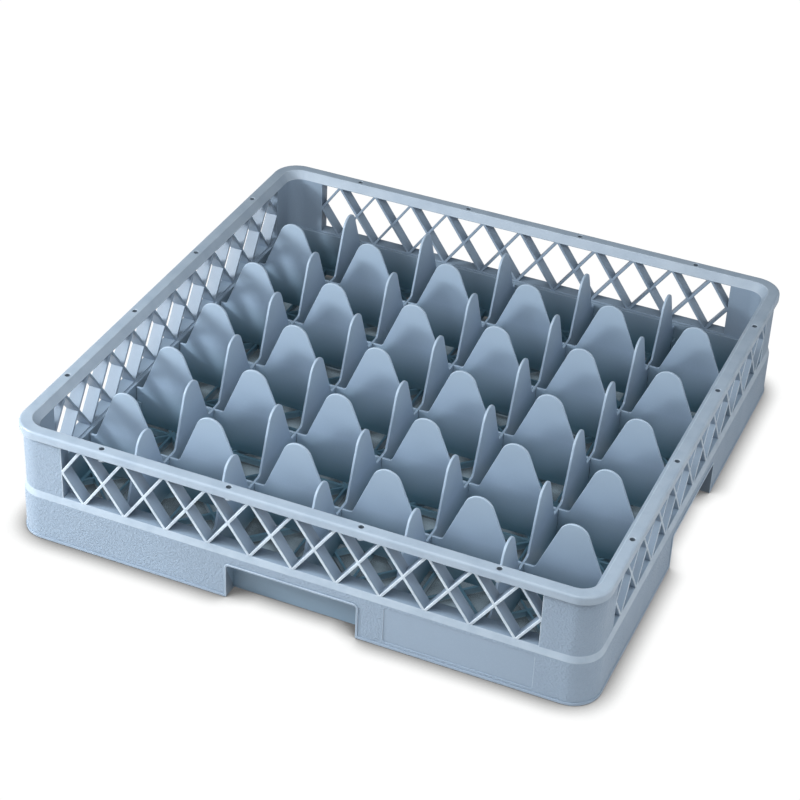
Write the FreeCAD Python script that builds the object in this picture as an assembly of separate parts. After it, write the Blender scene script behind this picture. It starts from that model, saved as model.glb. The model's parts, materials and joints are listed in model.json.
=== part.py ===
"""Glass-washer rack for 36 glasses: one moulded base and a lift-out grid of ten divider strips.

Millimetres. +Z is up, X runs along the front, Y runs to the back. The origin is the centre of the
footprint, on the surface that the rack stands on.
"""

import FreeCAD, Part
import math
import os

V = FreeCAD.Vector

# Overall size
HALF = 250.0              # half the outside width and depth
HEIGHT = 105.0            # top of the rim
CORNER = 24.0             # plan radius of the outside corners

# Rim
RIM_HEIGHT = 7.5
RIM_WIDTH = 10.0          # outer edge to inner edge
RIM_INNER_CORNER = 16.0
RIM_ROUND = 2.2           # rounding of the outer top edge
LEAD_IN_DEPTH = 7.0       # height of the sloping face inside the rim

# Walls, from the outside in
UPPER_INSET = 2.8         # the upper wall's outside, in from the rim
UPPER_INNER = 235.5       # half width inside the upper wall
SKIRT_INSET = 0.7         # the skirt's outside, in from the bead at its foot
SKIRT_DRAFT = 0.3         # extra inset at the skirt's top
LOWER_INNER = 232.4       # half width inside the lower wall
INNER_CORNER = 14.0
OUTER_SKIN = 2.6
INNER_SKIN = 3.2
WEB = 2.0                 # stiffening webs between the two skins

# Levels of the walls
BEAD_HEIGHT = 2.4
SKIRT_TOP = 41.0
LEDGE_TOP = 46.4          # outside: the sloping ledge between skirt and upper wall, and the window's sill
INNER_LEDGE = 45.4        # inside: the step between lower and upper wall
SILL_UNDERSIDE = 42.0
UPPER_CAVITY_TOP = 93.0

# Lattice window, one in each wall
LATTICE_PITCH = 37.0
LATTICE_MODULES = 11
BAR = 2.3                 # thickness of a lattice bar
LATTICE_LOW = LEDGE_TOP - BAR / 2      # centre lines of the rails
LATTICE_HIGH = 98.1

# Finger notch at the foot of each wall
NOTCH_HALF = 56.0
NOTCH_TOP = 31.5
NOTCH_BEAD = 1.8
NOTCH_CORNER = 2.5

# Plain panel on the front skirt
PANEL_X = (79.0, 202.0)
PANEL_Z = (5.0, 38.0)
PANEL_DEPTH = 0.4

# Sockets in the rim for the pins of an extender
SOCKET_RADIUS = 2.25
SOCKET_DEPTH = 9.0
SOCKET_BOSS_RADIUS = 3.4
SOCKET_BOSS_LOW = 94.0    # foot of the boss that hangs below the rim
SOCKET_INSET = 5.8        # centre, in from the rim's outer edge
SOCKET_PITCH = 111.5

# Floor of square ribs with a cross in each square
FLOOR_LOW = 2.0
FLOOR_TOP = 8.0
FLOOR_PITCH = SOCKET_PITCH / 2
FLOOR_RIB = 2.4
FLOOR_FRAME = 3.0         # width of the solid edge along the walls

# Divider strips
CELLS = 6
CELL_PITCH = 78.5
STRIP = 2.0               # thickness
STRIP_HALF = 231.4        # half length
VALLEY = 44.0             # height of the top edge where strips cross
CROWN = 95.0              # height of the top edge between crossings
CROWN_RADIUS = 12.8
FLANK = math.radians(68)
FOOT_RADIUS = 3.0
LAP = 26.0                # height where the two half slots meet
LAP_GAP = 0.1
SLOT_GAP = 0.15           # clearance on each side of a strip

# Guides on the walls that hold the ends of the strips
GUIDE_REACH = 6.0
GUIDE_TOP = 30.0
GUIDE_RIB = 1.8

OVERCUT = 1.0             # how far a cutting shape runs past the face it opens


def rounded_square(half, radius, z):
    """Closed wire: a square in plan with round corners, at height z."""
    c = half - radius
    diagonal = c + radius * math.sqrt(0.5)
    edges = []
    for cos, sin in ((1, 0), (0, 1), (-1, 0), (0, -1)):
        side = [(half, -c), (half, c), (diagonal, diagonal), (c, half)]
        a, b, middle, d = [V(x * cos - y * sin, x * sin + y * cos, z) for x, y in side]
        edges.append(Part.LineSegment(a, b).toShape())
        edges.append(Part.Arc(b, middle, d).toShape())
    return Part.Wire(edges)


def slab(half, radius, low, high):
    """Rounded square plate from low to high."""
    return Part.Face(rounded_square(half, radius, low)).extrude(V(0, 0, high - low))


def taper(low_outline, low, high_outline, high):
    """Rounded square block whose outline (half width, radius) changes evenly from low to high."""
    wires = [rounded_square(*low_outline, low), rounded_square(*high_outline, high)]
    return Part.makeLoft(wires, True, True)


def ring(outer, inner, low, high):
    """Space between two rounded squares, each given as (half width, radius)."""
    return slab(*outer, low, high).cut(slab(*inner, low, high))


def box(x, y, z):
    """Box from three (low, high) pairs."""
    return Part.makeBox(x[1] - x[0], y[1] - y[0], z[1] - z[0], V(x[0], y[0], z[0]))


def turned(shape, degrees):
    """Copy of a shape, turned about the vertical centre line."""
    copy = shape.copy()
    copy.rotate(V(0, 0, 0), V(0, 0, 1), degrees)
    return copy


def on_each_wall(shape):
    """The front wall's shape, at the front, right, back and left wall."""
    return [turned(shape, quarter * 90) for quarter in range(4)]


def edges_at(shape, z):
    """Edges of a shape that lie flat at height z."""
    low_and_high = [(edge, edge.BoundBox.ZMin, edge.BoundBox.ZMax) for edge in shape.Edges]
    return [edge for edge, low, high in low_and_high if abs(low - z) + abs(high - z) < 1e-4]


def edges_through_wall(shape, above):
    """Straight edges of a shape that run front to back and lie above a height."""
    def through(edge):
        start, end = edge.Vertexes[0].Point, edge.Vertexes[-1].Point
        return abs(start.y - end.y) > abs(start.x - end.x) + abs(start.z - end.z)

    return [edge for edge in shape.Edges if through(edge) and edge.BoundBox.ZMin > above]


def inset(points, gap):
    """Corners of a convex outline with every side moved in by gap."""
    pairs = list(zip(points, points[1:] + points[:1]))
    turn = math.copysign(1, sum(x0 * y1 - x1 * y0 for (x0, y0), (x1, y1) in pairs))
    sides = []
    for (x0, y0), (x1, y1) in pairs:
        length = turn * math.hypot(x1 - x0, y1 - y0)
        nx, ny = (y0 - y1) / length, (x1 - x0) / length
        sides.append((nx, ny, nx * x0 + ny * y0 + gap))
    corners = []
    for (a, b, c), (d, e, f) in zip(sides[-1:] + sides[:-1], sides):
        cross = a * e - b * d
        corners.append(((c * e - b * f) / cross, (a * f - c * d) / cross))
    return corners


def outer_block():
    """Everything inside the rack's outside surface, still solid."""
    bead = slab(HALF, CORNER, 0, BEAD_HEIGHT)
    foot = (HALF - SKIRT_INSET, CORNER - SKIRT_INSET)
    top = (foot[0] - SKIRT_DRAFT, foot[1] - SKIRT_DRAFT)
    upper = (HALF - UPPER_INSET, CORNER - UPPER_INSET)
    skirt = taper(foot, 0, top, SKIRT_TOP)
    ledge = taper(top, SKIRT_TOP, upper, LEDGE_TOP)
    rim_low = HEIGHT - RIM_HEIGHT
    wall = slab(*upper, LEDGE_TOP, rim_low)
    rim = slab(HALF, CORNER, rim_low, HEIGHT)
    rim = rim.makeFillet(RIM_ROUND, edges_at(rim, HEIGHT))
    return bead.multiFuse([skirt, ledge, wall, rim])


def inner_space():
    """The hollow that holds the glasses, open at the top and the bottom."""
    lead_in = HEIGHT - LEAD_IN_DEPTH
    upper = (UPPER_INNER, INNER_CORNER)
    mouth = taper(upper, lead_in, (HALF - RIM_WIDTH, RIM_INNER_CORNER), HEIGHT)
    lower = slab(LOWER_INNER, INNER_CORNER, -OVERCUT, INNER_LEDGE)
    return lower.multiFuse([slab(*upper, INNER_LEDGE, lead_in), mouth])


def wall_cavity():
    """Hollow between the outer and inner skins, open downwards and higher at the corners."""
    inset_by = SKIRT_INSET + SKIRT_DRAFT + OUTER_SKIN
    skirt = (HALF - inset_by, CORNER - inset_by)
    inner = (LOWER_INNER + INNER_SKIN, INNER_CORNER + INNER_SKIN)
    low = ring(skirt, inner, -OVERCUT, SILL_UNDERSIDE)
    inset_by = UPPER_INSET + OUTER_SKIN
    upper = (HALF - inset_by, CORNER - inset_by)
    inner = (UPPER_INNER + OUTER_SKIN, INNER_CORNER + OUTER_SKIN)
    high = ring(upper, inner, SKIRT_TOP, UPPER_CAVITY_TOP)
    reach = (LATTICE_PITCH * LATTICE_MODULES / 2 + OUTER_SKIN, HALF)
    corners = Part.makeCompound(on_each_wall(box(reach, reach, (SKIRT_TOP, UPPER_CAVITY_TOP))))
    solids = Part.makeCompound(on_each_wall(cavity_walls()))
    return low.fuse(high.common(corners)).cut(solids)


def cavity_walls():
    """Solid left inside the front wall's cavity: round the notch, and the stiffening webs."""
    cheek = NOTCH_HALF + OUTER_SKIN
    deep = (-HALF, -LOWER_INNER)
    solid = box((-cheek, cheek), deep, (-OVERCUT, NOTCH_TOP + OUTER_SKIN))
    webs = []
    for count in range(1, 4):
        for side in (-1, 1):
            x = side * FLOOR_PITCH * (count + 0.5)
            webs.append(box((x - WEB / 2, x + WEB / 2), deep, (-OVERCUT, SILL_UNDERSIDE)))
    return solid.multiFuse(webs)


def notch():
    """Opening at the foot of the front wall that bares the inner skin."""
    face = -LOWER_INNER - INNER_SKIN
    opening = box((-NOTCH_HALF, NOTCH_HALF), (-HALF - OVERCUT, face), (-NOTCH_TOP, NOTCH_TOP))
    return opening.makeFillet(NOTCH_CORNER, edges_through_wall(opening, 0))


def notch_bead():
    """Raised line round the notch, on the outside of the front skirt."""
    half = NOTCH_HALF + NOTCH_BEAD
    deep = (-HALF, -HALF + OUTER_SKIN)
    plate = box((-half, half), deep, (0, NOTCH_TOP + NOTCH_BEAD))
    return plate.makeFillet(NOTCH_CORNER + NOTCH_BEAD, edges_through_wall(plate, NOTCH_TOP))


def lattice_outlines():
    """Diamonds between the bars of a lattice window, and triangles along its rails."""
    half = LATTICE_PITCH / 2
    end = LATTICE_MODULES * half + BAR / 2
    middle = (LATTICE_LOW + LATTICE_HIGH) / 2
    count = LATTICE_MODULES // 2
    outlines = []
    for k in range(-count, count + 1):
        x = k * LATTICE_PITCH
        outlines.append([(x, LATTICE_LOW), (x + half, middle), (x, LATTICE_HIGH), (x - half, middle)])
    for base in (LATTICE_LOW, LATTICE_HIGH):
        for k in range(-count, count):
            x = k * LATTICE_PITCH
            outlines.append([(x, base), (x + LATTICE_PITCH, base), (x + half, middle)])
        inner = count * LATTICE_PITCH
        tip = base + (middle - base) * (end - inner) / half
        for side in (-1, 1):
            outlines.append([(side * inner, base), (side * end, base), (side * end, tip)])
    return outlines


def lattice_openings():
    """Prisms through the front wall that leave the crossed bars of its window."""
    prisms = []
    for outline in lattice_outlines():
        points = [V(x, -HALF, z) for x, z in inset(outline, BAR / 2)]
        face = Part.Face(Part.makePolygon(points + points[:1]))
        prisms.append(face.extrude(V(0, HALF - UPPER_INNER + OVERCUT, 0)))
    return prisms


def label_panel():
    """Shallow recess in the front skirt, left plain."""
    face = -HALF + SKIRT_INSET + SKIRT_DRAFT + PANEL_DEPTH
    recess = box(PANEL_X, (-HALF - OVERCUT, face), PANEL_Z)
    return recess.makeFillet(NOTCH_CORNER, edges_through_wall(recess, 0))


def at_sockets(radius, low, high):
    """Upright cylinders, one at each socket of the front rim."""
    places = [-1.5 * SOCKET_PITCH, -0.5 * SOCKET_PITCH, 0.5 * SOCKET_PITCH, 1.5 * SOCKET_PITCH]
    feet = [V(x, -HALF + SOCKET_INSET, low) for x in places]
    return [Part.makeCylinder(radius, high - low, foot) for foot in feet]


def floor_gaps():
    """Triangles between the floor's ribs: each square of ribs is split by both its diagonals."""
    unit = FLOOR_PITCH / 2
    outermost = 2 * math.ceil(LOWER_INNER / FLOOR_PITCH)
    gaps = []
    for i in range(-outermost, outermost + 1, 2):
        for j in range(-outermost, outermost + 1, 2):
            for dx, dy in ((1, 0), (0, 1), (-1, 0), (0, -1)):
                corners = [(i, j), (i + dx + dy, j + dy - dx), (i + dx - dy, j + dy + dx)]
                corners = [(x * unit, y * unit) for x, y in corners]
                points = [V(x, y, FLOOR_LOW) for x, y in inset(corners, FLOOR_RIB / 2)]
                gaps.append(Part.Face(Part.makePolygon(points + points[:1])))
    return gaps


def floor():
    """Open floor: crossed ribs inside a narrow frame that joins the feet of the inner walls."""
    plate = Part.Face(rounded_square(LOWER_INNER + INNER_SKIN / 2, INNER_CORNER, FLOOR_LOW))
    inside = Part.Face(rounded_square(LOWER_INNER - FLOOR_FRAME, INNER_CORNER - FLOOR_FRAME, FLOOR_LOW))
    open_area = inside.common(Part.makeCompound(floor_gaps()))
    return plate.cut(open_area).extrude(V(0, 0, FLOOR_TOP - FLOOR_LOW))


def strip_places():
    """Positions of the strips across the rack."""
    return [(k - CELLS / 2) * CELL_PITCH for k in range(1, CELLS)]


def guides():
    """Upright pairs of ribs on the front wall, one pair for each strip's end."""
    near = STRIP / 2 + SLOT_GAP
    deep = (-LOWER_INNER - INNER_SKIN / 2, -LOWER_INNER + GUIDE_REACH)
    ribs = []
    for x in strip_places():
        for low in (x + near, x - near - GUIDE_RIB):
            ribs.append(box((low, low + GUIDE_RIB), deep, (FLOOR_LOW, GUIDE_TOP)))
    return ribs


def rack_base():
    """The one-piece moulded rack without its dividers."""
    body = outer_block().multiFuse(on_each_wall(notch_bead()))
    body = body.cut(inner_space()).cut(wall_cavity())
    cuts = [label_panel()]
    for tool in [notch()] + lattice_openings():
        cuts += on_each_wall(tool)
    added = [floor()]
    for solid in guides() + at_sockets(SOCKET_BOSS_RADIUS, SOCKET_BOSS_LOW, HEIGHT - RIM_ROUND):
        added += on_each_wall(solid)
    body = body.cut(cuts).multiFuse(added)
    holes = []
    for hole in at_sockets(SOCKET_RADIUS, HEIGHT - SOCKET_DEPTH, HEIGHT + OVERCUT):
        holes += on_each_wall(hole)
    return body.cut(holes).removeSplitter()


def hump(centre):
    """Edges of one hump of a strip's top edge, left to right, between two points at valley height."""
    sin, cos, tan = math.sin(FLANK), math.cos(FLANK), math.tan(FLANK)
    middle = CROWN - CROWN_RADIUS
    crown = (CROWN_RADIUS * sin, middle + CROWN_RADIUS * cos)
    reach = crown[0] + (crown[1] - VALLEY) / tan
    tangent = FOOT_RADIUS * math.tan(FLANK / 2)
    start = (reach + tangent, VALLEY)
    foot = (reach - tangent * cos, VALLEY + tangent * sin)
    curl = (start[0] - FOOT_RADIUS * math.sin(FLANK / 2), VALLEY + FOOT_RADIUS * (1 - math.cos(FLANK / 2)))

    def point(side, place):
        return V(centre + side * place[0], 0, place[1])

    edges = []
    for side in (-1, 1):
        half = [
            Part.Arc(point(side, start), point(side, curl), point(side, foot)).toShape(),
            Part.LineSegment(point(side, foot), point(side, crown)).toShape(),
        ]
        edges += half if side < 0 else half[::-1]
    top = Part.Arc(point(-1, crown), V(centre, 0, CROWN), point(1, crown)).toShape()
    edges.insert(2, top)
    return point(-1, start), edges, point(1, start)


def plain_strip():
    """Strip along X, before its slots are cut."""
    low_left, high_left = V(-STRIP_HALF, 0, FLOOR_TOP), V(-STRIP_HALF, 0, VALLEY)
    low_right, high_right = V(STRIP_HALF, 0, FLOOR_TOP), V(STRIP_HALF, 0, VALLEY)
    edges = [Part.LineSegment(low_left, high_left).toShape()]
    last = high_left
    for k in range(CELLS):
        start, curve, end = hump((k - (CELLS - 1) / 2) * CELL_PITCH)
        edges += [Part.LineSegment(last, start).toShape()] + curve
        last = end
    for a, b in ((last, high_right), (high_right, low_right), (low_right, low_left)):
        edges.append(Part.LineSegment(a, b).toShape())
    plate = Part.Face(Part.Wire(edges)).extrude(V(0, STRIP, 0))
    plate.translate(V(0, -STRIP / 2, 0))
    return plate


def slots(low, high):
    """Half slots for the crossing strips, between two heights."""
    half = STRIP / 2 + SLOT_GAP
    return [box((x - half, x + half), (-STRIP, STRIP), (low, high)) for x in strip_places()]


def cross_dividers():
    """Lower strips, along X, slotted from the top."""
    strip = plain_strip().cut(slots(LAP - LAP_GAP, VALLEY + OVERCUT))
    copies = [strip.copy() for place in strip_places()]
    for copy, y in zip(copies, strip_places()):
        copy.translate(V(0, y, 0))
    return copies


def long_dividers():
    """Upper strips, along Y, slotted from below."""
    strip = turned(plain_strip().cut(slots(FLOOR_TOP - OVERCUT, LAP)), 90)
    copies = [strip.copy() for place in strip_places()]
    for copy, x in zip(copies, strip_places()):
        copy.translate(V(x, 0, 0))
    return copies


os.makedirs("parts", exist_ok=True)
rack_base().exportStep("parts/rack_base.step")
for name, strips in (("cross_divider", cross_dividers()), ("long_divider", long_dividers())):
    for number, strip in enumerate(strips, 1):
        strip.exportStep(f"parts/{name}_{number}.step")
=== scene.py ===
"""Looks of a glass rack: moulded plastic with grain and soft edges, on a pale studio floor."""
import json
import math

import bmesh
import bpy
from mathutils import Matrix, Vector


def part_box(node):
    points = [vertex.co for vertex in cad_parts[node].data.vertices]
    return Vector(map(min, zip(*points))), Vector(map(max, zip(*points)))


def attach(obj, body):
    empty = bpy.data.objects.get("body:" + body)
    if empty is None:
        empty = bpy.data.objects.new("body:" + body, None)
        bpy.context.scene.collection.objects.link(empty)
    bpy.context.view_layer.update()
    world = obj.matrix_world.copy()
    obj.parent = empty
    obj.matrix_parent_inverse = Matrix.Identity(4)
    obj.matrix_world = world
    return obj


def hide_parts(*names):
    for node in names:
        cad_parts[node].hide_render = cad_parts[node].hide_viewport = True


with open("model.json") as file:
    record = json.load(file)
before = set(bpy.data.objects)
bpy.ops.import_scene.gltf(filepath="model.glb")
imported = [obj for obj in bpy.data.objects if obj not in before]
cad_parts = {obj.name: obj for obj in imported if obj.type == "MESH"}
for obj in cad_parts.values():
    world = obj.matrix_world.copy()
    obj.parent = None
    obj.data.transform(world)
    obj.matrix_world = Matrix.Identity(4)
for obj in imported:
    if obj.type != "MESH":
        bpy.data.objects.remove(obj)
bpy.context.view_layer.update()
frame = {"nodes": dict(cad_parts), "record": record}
MM = 0.001

# Camera, at the photograph's viewing angle
VIEW_AZIMUTH = math.radians(22.1)
VIEW_ELEVATION = math.radians(34.34)
VIEW_ROLL = math.radians(2.71)
VIEW_DISTANCE = 1.838
VIEW_TARGET = Vector((-0.0146, -0.0059, 0.0526))
LENS_MM = 96.32

# Colours of the plastic
RACK_COLOUR = (0.22, 0.29, 0.375)
DIVIDER_COLOUR = (0.305, 0.415, 0.550)
CROWN_LIGHT_COLOUR = (0.37, 0.48, 0.60)      # painted light on the dividers' tops
DEEP_SHADE_COLOUR = (0.075, 0.160, 0.220)    # painted shade inside, near the floor
WORN_HIGHLIGHT_COLOUR = (0.62, 0.71, 0.78)       # of rubbed edges, and painted highlight on edges, rim, ledge and lattice bars
SOCKET_SHADE_COLOUR = (0.115, 0.150, 0.190)  # painted shade deep in the rim's sockets
DEEP_SHADE_Z = (0.014, 0.052)                # heights over which the painted shade fades out
CROWN_LIGHT_Z = (0.055, 0.092)               # heights over which the painted light on the tops comes in
RECESS_SHADE_SHARE = 0.42                    # how much of the painted shade the skin behind a notch takes
CLOUD_SHADES = (0.95, 1.05)            # darkest and lightest clouds
SPECKLE_SHADE = 1.25
SPECKLE_SHARE = 0.15

# Patterns in the plastic, in repeats per metre
CLOUDS = 9.0
GLOSS_PATCHES = 38.0
WAVES = 60.0
WORN_HIGHLIGHT_PATCHES = 70.0
GRAINS = 600.0
GRAIN_PITS = 780.0
FINE_PITS = 800.0
SPECKLES = 900.0

# Ranges of noise that are spread over a pattern's full range
MOST_NOISE = (0.3, 0.7)
SPECKLE_NOISE = (0.45, 0.7)
WORN_HIGHLIGHT_NOISE = (0.25, 0.6)
WORN_HIGHLIGHT_STRENGTH = (0.5, 0.95)            # of the rubbing and painted highlight, in its faintest and its strongest patches

# Surface of the plastic
WAVE_HEIGHT = 0.5                      # these three are shares of the relief's depth
FINE_PIT_HEIGHT = 0.08
GRAIN_PIT_HEIGHT = 0.8
RELIEF_DEPTH = 0.0008
RELIEF_STRENGTH = 0.6
REFRACTIVE_INDEX = 1.49
SMOOTH_ROUGHNESS = 0.42
GRAINED_ROUGHNESS = 0.50
DIVIDER_ROUGHNESS = 0.45
ROUGHNESS_CHANGE = (-0.05, 0.06)       # in the glossiest and the dullest patches
RACK_GLOW = 0.06                       # share of the light that comes through from behind
DIVIDER_GLOW = 0.18

# Soft edges that the mould leaves
SOFT_EDGE = 0.0004
EDGE_STEPS = 2
SHARP_ANGLE = math.radians(12)
WELD = 1e-6

# How light rubbing and painted highlight make a soft edge and a flat face, 0 to 1
RIM_WEAR_AND_HIGHLIGHT = (0.4, 0.2)
LEDGE_WEAR_AND_HIGHLIGHT = (0.3, 0.3)
BAR_WEAR_AND_HIGHLIGHT = (1.0, 0.6)                  # lattice bars of the front and back walls
SIDE_BAR_WEAR_AND_HIGHLIGHT = (0.55, 0.45)           # lattice bars of the left and right walls
SKIRT_WEAR_AND_HIGHLIGHT = (0.4, 0.0)
DIVIDER_WEAR_AND_HIGHLIGHT = (0.15, 0.0)
NO_WEAR_NO_HIGHLIGHT = (0.0, 0.0)

# Lights: name, place, size and watts
ROOM = 0.14
ROOM_COLOUR = (0.95, 0.98, 1.0)
LIGHTS = {
    "key_front_left": ((-0.98, -0.78, 0.68), 0.4, 6.4),
    "low_left": ((-0.82, -0.48, 0.42), 0.14, 7.2),
    "above_front": ((-0.10, -0.60, 0.75), 0.5, 4.5),
    "above_right": ((0.40, -0.42, 0.78), 0.5, 3.3),
    "right_near": ((0.85, -0.10, 0.50), 0.4, 1.5),
    "fill_right": ((1.30, 0.70, 0.50), 1.0, 5.0),
}

# Studio floor
FLOOR_SIZE = 40.0
FLOOR_GAP = 0.0003                     # between the floor and the rack's foot
PAPER_DARK = (0.84, 0.84, 0.84)
PAPER_LIGHT = (0.87, 0.87, 0.87)
PAPER_CLOUDS = 3.0
PAPER_SEEN = (0.995, 1.0, 1.0)         # what the camera sees of the open floor
UNDER_SHADE_COLOUR = (0.25, 0.34, 0.41)      # painted shade of the floor below the rack, as the camera sees it through the cells
CONTACT_REACH = 0.024                  # how far the soft shadow at the rack's foot reaches
CONTACT_OPENNESS = (0.42, 0.92)        # how open the floor is, from full shadow to none
CONTACT_LIGHT = (0.12, 1.02)           # how bright it is, from full shadow to none
CONTACT_RAYS = 12

# Places on the base: half widths from its box, and heights above its foot
LOW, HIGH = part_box("rack_base")
CORNER_CENTRE = HIGH.x - 0.024
OUTSIDE = (HIGH.x - 0.004, HIGH.x - 0.0004)   # range that holds the outer faces of the walls
INSIDE = HIGH.x - 0.016                       # just outside the inner faces of the walls
UNDER_EDGE = INSIDE - 0.007                   # from here to INSIDE the painted shade below the rack fades out
WINDOW_HALF = 0.204
UPRIGHT = 0.9                                 # how well an outer face has to look outward, 0 to 1
RIM_FOOT = HIGH.z - 0.0076
SOCKET_LIP = HIGH.z - 0.0005                  # below it a rim socket gets painted shade
SOCKET_SLACK = 0.0001
LEDGE = (0.0405, 0.0468)                      # foot and top of the sloping ledge
FOOT_TOP = 0.006
PANEL_X = (0.079, 0.202)
PANEL_FACE = LOW.y + 0.0012                   # between the skirt's face and the panel's floor


def add(tree, kind, inputs=None, **settings):
    """New shader node with its settings, and its inputs set to values or linked to sockets."""
    node = tree.nodes.new(kind)
    for name, value in settings.items():
        setattr(node, name, value)
    for key, value in (inputs or {}).items():
        if isinstance(value, bpy.types.NodeSocket):
            tree.links.new(value, node.inputs[key])
        else:
            node.inputs[key].default_value = value
    return node


def maths(tree, operation, a, b=0.0):
    """Output of a math node."""
    return add(tree, "ShaderNodeMath", {0: a, 1: b}, operation=operation).outputs[0]


def vectors(tree, operation, a, b=(0, 0, 0), output="Vector"):
    """Output of a vector math node."""
    return add(tree, "ShaderNodeVectorMath", {0: a, 1: b}, operation=operation).outputs[output]


def mix(tree, share, a, b):
    """Output of a colour mix; share, a and b are values or sockets."""
    node = add(tree, "ShaderNodeMix", data_type="RGBA")
    for name, value in (("Factor", share), ("A", a), ("B", b)):
        socket = next(s for s in node.inputs if s.name == name and s.enabled)
        if isinstance(value, bpy.types.NodeSocket):
            tree.links.new(value, socket)
        else:
            socket.default_value = value
    return next(s for s in node.outputs if s.enabled)


def noise(tree, place, scale, detail=2.0):
    """Output of a noise texture, 0 to 1."""
    return add(tree, "ShaderNodeTexNoise", {"Vector": place, "Scale": scale, "Detail": detail}).outputs[0]


def spread(tree, value, low, high, to_low, to_high):
    """Value mapped from one range to another, held at its ends."""
    inputs = {"Value": value, "From Min": low, "From Max": high, "To Min": to_low, "To Max": to_high}
    return add(tree, "ShaderNodeMapRange", inputs).outputs[0]


def face_value(tree, name):
    """Output of a value that is stored on the mesh's faces."""
    return add(tree, "ShaderNodeAttribute", attribute_name=name).outputs["Fac"]


def shade(colour, factor=1.0):
    """Colour made lighter or darker, with full alpha."""
    return tuple(min(1.0, channel * factor) for channel in colour) + (1.0,)


def empty_material(name):
    """New material without nodes, and its node tree."""
    material = bpy.data.materials.new(name)
    material.use_nodes = True
    material.node_tree.nodes.clear()
    return material, material.node_tree


def half_width(tree, place):
    """Half width of the round-cornered square that has the rack's corner centres and holds a place."""
    folded = vectors(tree, "ABSOLUTE", place)
    over = vectors(tree, "SUBTRACT", folded, (CORNER_CENTRE, CORNER_CENTRE, 1.0))
    length = vectors(tree, "LENGTH", vectors(tree, "MAXIMUM", over), output="Value")
    return maths(tree, "ADD", length, CORNER_CENTRE)


def depth_shade_and_crown_light(tree, place, base, lit_crowns):
    """Painted shade inside the rack, darkest and greenish near the floor, and, on the dividers, painted
    light on top.
    """
    z = add(tree, "ShaderNodeSeparateXYZ", {0: place}).outputs["Z"]
    width = half_width(tree, place)
    inside = maths(tree, "MULTIPLY", maths(tree, "LESS_THAN", width, INSIDE), 1 - RECESS_SHADE_SHARE)
    recess = maths(tree, "MULTIPLY", maths(tree, "LESS_THAN", width, OUTSIDE[0]), RECESS_SHADE_SHARE)
    # painted shade, darker towards the floor inside the walls and, in part, behind a notch
    deep = maths(tree, "MULTIPLY", spread(tree, z, *DEEP_SHADE_Z, 1.0, 0.0), maths(tree, "ADD", inside, recess))
    if lit_crowns:
        # painted light, lighter towards the dividers' tops
        base = mix(tree, spread(tree, z, *CROWN_LIGHT_Z, 0.0, 1.0), base, shade(CROWN_LIGHT_COLOUR))
    return mix(tree, deep, base, shade(DEEP_SHADE_COLOUR))


def plastic_colour(tree, place, colour, lit_crowns):
    """Cloudy, speckled colour with painted shade inside the rack and in the sockets, painted light on the
    dividers' tops, and rubbed edges with painted highlight.
    """
    clouds = spread(tree, noise(tree, place, CLOUDS, 3.0), *MOST_NOISE, 0.0, 1.0)
    base = mix(tree, clouds, shade(colour, CLOUD_SHADES[0]), shade(colour, CLOUD_SHADES[1]))
    speckles = spread(tree, noise(tree, place, SPECKLES), *SPECKLE_NOISE, 0.0, SPECKLE_SHARE)
    base = mix(tree, speckles, base, shade(colour, SPECKLE_SHADE))
    base = depth_shade_and_crown_light(tree, place, base, lit_crowns)
    # rubbed edges, and painted highlight on edges, rim, ledge and lattice bars
    patches = spread(tree, noise(tree, place, WORN_HIGHLIGHT_PATCHES), *WORN_HIGHLIGHT_NOISE, *WORN_HIGHLIGHT_STRENGTH)
    worn_and_lit = maths(tree, "MULTIPLY", face_value(tree, "worn_and_lit"), patches)
    base = mix(tree, worn_and_lit, base, shade(WORN_HIGHLIGHT_COLOUR))
    # painted shade in the rim's sockets
    return mix(tree, face_value(tree, "shaded"), base, shade(SOCKET_SHADE_COLOUR))


def plastic_relief(tree, place, grained):
    """Surface normal with slow waves, fine pits and, if wanted, a pebble grain."""
    waves = maths(tree, "MULTIPLY", noise(tree, place, WAVES), WAVE_HEIGHT)
    pits = maths(tree, "MULTIPLY", noise(tree, place, FINE_PITS), FINE_PIT_HEIGHT)
    relief = maths(tree, "ADD", waves, pits)
    if grained:
        pebbles = add(tree, "ShaderNodeTexVoronoi", {"Vector": place, "Scale": GRAINS},
                      feature="SMOOTH_F1").outputs["Distance"]
        between = maths(tree, "MULTIPLY", noise(tree, place, GRAIN_PITS), GRAIN_PIT_HEIGHT)
        relief = maths(tree, "ADD", relief, maths(tree, "ADD", pebbles, between))
    inputs = {"Height": relief, "Strength": RELIEF_STRENGTH, "Distance": RELIEF_DEPTH}
    return add(tree, "ShaderNodeBump", inputs).outputs[0]


def plastic(name, colour, roughness, glow_share, grained=False, lit_crowns=False):
    """Moulded polypropylene that lets a little light through."""
    material, tree = empty_material(name)
    place = add(tree, "ShaderNodeTexCoord").outputs["Object"]
    base = plastic_colour(tree, place, colour, lit_crowns)
    normal = plastic_relief(tree, place, grained)
    glossiest, dullest = (roughness + change for change in ROUGHNESS_CHANGE)
    rough = spread(tree, noise(tree, place, GLOSS_PATCHES, 3.0), *MOST_NOISE, glossiest, dullest)
    shader = add(tree, "ShaderNodeBsdfPrincipled", {
        "Base Color": base, "Roughness": rough, "IOR": REFRACTIVE_INDEX, "Normal": normal})
    glow = add(tree, "ShaderNodeBsdfTranslucent", {"Color": base, "Normal": normal})
    both = add(tree, "ShaderNodeMixShader", {0: glow_share, 1: shader.outputs[0], 2: glow.outputs[0]})
    add(tree, "ShaderNodeOutputMaterial", {"Surface": both.outputs[0]})
    return material


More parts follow.
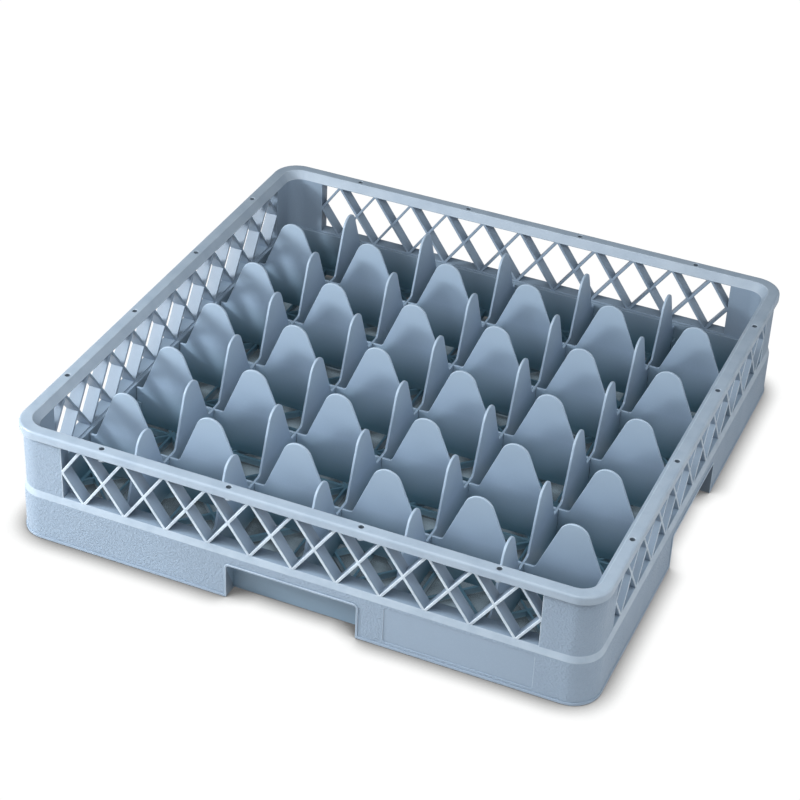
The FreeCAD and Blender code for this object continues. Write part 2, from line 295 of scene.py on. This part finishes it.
def outward(middle):
    """Level vector from the square through the rack's corner centres to a point outside that square."""
    over = Vector((max(abs(middle.x) - CORNER_CENTRE, 0), max(abs(middle.y) - CORNER_CENTRE, 0), 0))
    return Vector((math.copysign(over.x, middle.x), math.copysign(over.y, middle.y), 0))


def is_outside(face):
    """True for the upright faces of the base's outer skin."""
    out = outward(face.calc_center_median())
    in_range = OUTSIDE[0] < CORNER_CENTRE + out.length < OUTSIDE[1]
    return in_range and face.normal.dot(out.normalized()) > UPRIGHT


def on_panel(middle):
    """True for a point of the plain panel, or of the thickness of the wall behind it."""
    inside = PANEL_X[0] < middle.x < PANEL_X[1] and middle.z < LEDGE[0]
    return inside and LOW.y < middle.y < -CORNER_CENTRE


def is_grained(face):
    """True for the faces of the base that the mould grains: the outside without rim, ledge and panel."""
    middle = face.calc_center_median()
    on_rim = middle.z > RIM_FOOT
    on_ledge = LEDGE[0] < middle.z < LEDGE[1]
    on_panel_floor = on_panel(middle) and middle.y > PANEL_FACE
    return is_outside(face) and not (on_rim or on_ledge or on_panel_floor)


def in_socket(face):
    """True for the faces inside the blind sockets in the rim, which get painted shade."""
    middle = face.calc_center_median()
    if middle.z > SOCKET_LIP:
        return False
    for mount in frame["record"]["mounts"]:
        if mount["kind"] == "bolt_pattern":
            size = mount["dims"]
            off_x = abs(middle.x) - size["spacing_x_mm"] * MM / 2
            off_y = abs(middle.y) - size["spacing_y_mm"] * MM / 2
            if math.hypot(off_x, off_y) < size["hole_r_mm"] * MM + SOCKET_SLACK:
                return True
    return False


def base_wear_and_highlight(face):
    """Wear and painted highlight of the base at a face: of the rim, the ledge, the lattice bars or the
    skirt.
    """
    middle = face.calc_center_median()
    if middle.z > RIM_FOOT:
        return RIM_WEAR_AND_HIGHLIGHT
    if CORNER_CENTRE + outward(middle).length < OUTSIDE[0] or middle.z < FOOT_TOP or on_panel(middle):
        return NO_WEAR_NO_HIGHLIGHT
    if middle.z <= LEDGE[0]:
        return SKIRT_WEAR_AND_HIGHLIGHT
    if middle.z < LEDGE[1]:
        return LEDGE_WEAR_AND_HIGHLIGHT
    edge, flat = SIDE_BAR_WEAR_AND_HIGHLIGHT if abs(middle.x) > abs(middle.y) else BAR_WEAR_AND_HIGHLIGHT
    on_bar = min(abs(middle.x), abs(middle.y)) < WINDOW_HALF and is_outside(face)
    return edge, flat if on_bar else 0.0


def divider_wear_and_highlight(face):
    """Wear and painted highlight of a divider, the same at every face."""
    return DIVIDER_WEAR_AND_HIGHLIGHT


def is_sharp(edge):
    """True for an edge where two faces meet at a clear angle."""
    return len(edge.link_faces) == 2 and edge.calc_face_angle() > SHARP_ANGLE


def moulded(node, body, materials, wear_and_highlight, grained=None, shade_hollow=None):
    """Piece that stands for a CAD node and has the soft outer edges that a mould leaves."""
    form = bmesh.new()
    form.from_mesh(frame["nodes"][node].data)
    bmesh.ops.remove_doubles(form, verts=form.verts, dist=WELD)
    worn_and_lit = form.faces.layers.float.new("worn_and_lit")
    shaded = form.faces.layers.float.new("shaded")
    outer = [edge for edge in form.edges if is_sharp(edge) and edge.is_convex]
    rounded = bmesh.ops.bevel(form, geom=outer, offset=SOFT_EDGE, segments=EDGE_STEPS, profile=0.5,
                              affect="EDGES", clamp_overlap=False, miter_outer="SHARP")
    form.normal_update()
    soft = set(rounded["faces"])
    for face in form.faces:
        edge_wear_and_highlight, flat_wear_and_highlight = wear_and_highlight(face)
        face.smooth = True
        face.material_index = 1 if grained and grained(face) else 0
        face[worn_and_lit] = edge_wear_and_highlight if face in soft else flat_wear_and_highlight
        face[shaded] = 1.0 if shade_hollow and shade_hollow(face) else 0.0
    for edge in form.edges:
        edge.smooth = edge.is_convex or not is_sharp(edge)
    mesh = bpy.data.meshes.new(node + "_moulded")
    form.to_mesh(mesh)
    form.free()
    for material in materials:
        mesh.materials.append(material)
    piece = bpy.data.objects.new(node + "_moulded", mesh)
    bpy.context.scene.collection.objects.link(piece)
    normals = piece.modifiers.new("even_faces", "WEIGHTED_NORMAL")
    normals.keep_sharp = True
    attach(piece, body)
    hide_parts(node)


def all_pieces():
    """One moulded piece for each CAD node, on the node's own body."""
    smooth_rack = plastic("rack_plastic_smooth", RACK_COLOUR, SMOOTH_ROUGHNESS, RACK_GLOW)
    grained_rack = plastic("rack_plastic_grained", RACK_COLOUR, GRAINED_ROUGHNESS, RACK_GLOW, grained=True)
    divider = plastic("divider_plastic", DIVIDER_COLOUR, DIVIDER_ROUGHNESS, DIVIDER_GLOW, lit_crowns=True)
    for body, nodes in frame["record"]["behaviour"]["bodies"].items():
        for node in nodes:
            if node == "rack_base":
                moulded(node, body, [smooth_rack, grained_rack], base_wear_and_highlight,
                        grained=is_grained, shade_hollow=in_socket)
            else:
                moulded(node, body, [divider], divider_wear_and_highlight)


def camera():
    """Camera at the photograph's viewing angle."""
    back = Vector((math.sin(VIEW_AZIMUTH) * math.cos(VIEW_ELEVATION),
                   -math.cos(VIEW_AZIMUTH) * math.cos(VIEW_ELEVATION), math.sin(VIEW_ELEVATION)))
    right = Matrix.Rotation(VIEW_ROLL, 3, back) @ Vector((0, 0, 1)).cross(back).normalized()
    up = back.cross(right)
    holder = bpy.data.objects.new("view_camera", bpy.data.cameras.new("view_camera"))
    holder.data.lens = LENS_MM
    turn = Matrix((right, up, back)).transposed()
    holder.matrix_world = Matrix.Translation(VIEW_TARGET + back * VIEW_DISTANCE) @ turn.to_4x4()
    bpy.context.scene.collection.objects.link(holder)
    bpy.context.scene.camera = holder


def lamp(name, place, size, watts):
    """Square soft light that faces the rack."""
    light = bpy.data.lights.new(name, "AREA")
    light.size = size
    light.energy = watts
    holder = bpy.data.objects.new(name, light)
    holder.visible_camera = False
    place = Vector(place)
    turn = (place - VIEW_TARGET).to_track_quat("Z", "Y").to_matrix().to_4x4()
    holder.matrix_world = Matrix.Translation(place) @ turn
    bpy.context.scene.collection.objects.link(holder)


def pale_floor():
    """Plain white paper: bright to the eye of the camera, with painted shadow where the rack stands close
    to it and painted shade below the rack.
    """
    material, tree = empty_material("pale_floor")
    place = add(tree, "ShaderNodeTexCoord").outputs["Object"]
    paper = mix(tree, noise(tree, place, PAPER_CLOUDS), shade(PAPER_DARK), shade(PAPER_LIGHT))
    lit = add(tree, "ShaderNodeBsdfDiffuse", {"Color": paper})
    # painted shade of the floor below the rack
    open_share = spread(tree, half_width(tree, place), UNDER_EDGE, INSIDE, 0.0, 1.0)
    tint = mix(tree, open_share, shade(UNDER_SHADE_COLOUR), shade(PAPER_SEEN))
    # painted shadow at the rack's foot
    openness = add(tree, "ShaderNodeAmbientOcclusion", {"Distance": CONTACT_REACH},
                   samples=CONTACT_RAYS).outputs["AO"]
    light = spread(tree, openness, *CONTACT_OPENNESS, *CONTACT_LIGHT)
    bright = add(tree, "ShaderNodeEmission", {"Color": tint, "Strength": light})
    seen = add(tree, "ShaderNodeLightPath").outputs["Is Camera Ray"]
    both = add(tree, "ShaderNodeMixShader", {0: seen, 1: lit.outputs[0], 2: bright.outputs[0]})
    add(tree, "ShaderNodeOutputMaterial", {"Surface": both.outputs[0]})
    return material


def studio():
    """Pale floor, soft lights and a dim room."""
    bpy.ops.mesh.primitive_plane_add(size=FLOOR_SIZE, location=(0, 0, -FLOOR_GAP))
    floor = bpy.context.object
    floor.name = "studio_floor"
    floor.data.materials.append(pale_floor())
    world = bpy.data.worlds.new("room")
    world.use_nodes = True
    background = world.node_tree.nodes["Background"]
    background.inputs["Color"].default_value = shade(ROOM_COLOUR)
    background.inputs["Strength"].default_value = ROOM
    bpy.context.scene.world = world
    for name, (place, size, watts) in LIGHTS.items():
        lamp(name, place, size, watts)
    bpy.context.scene.view_settings.view_transform = "Standard"


all_pieces()
camera()
studio()
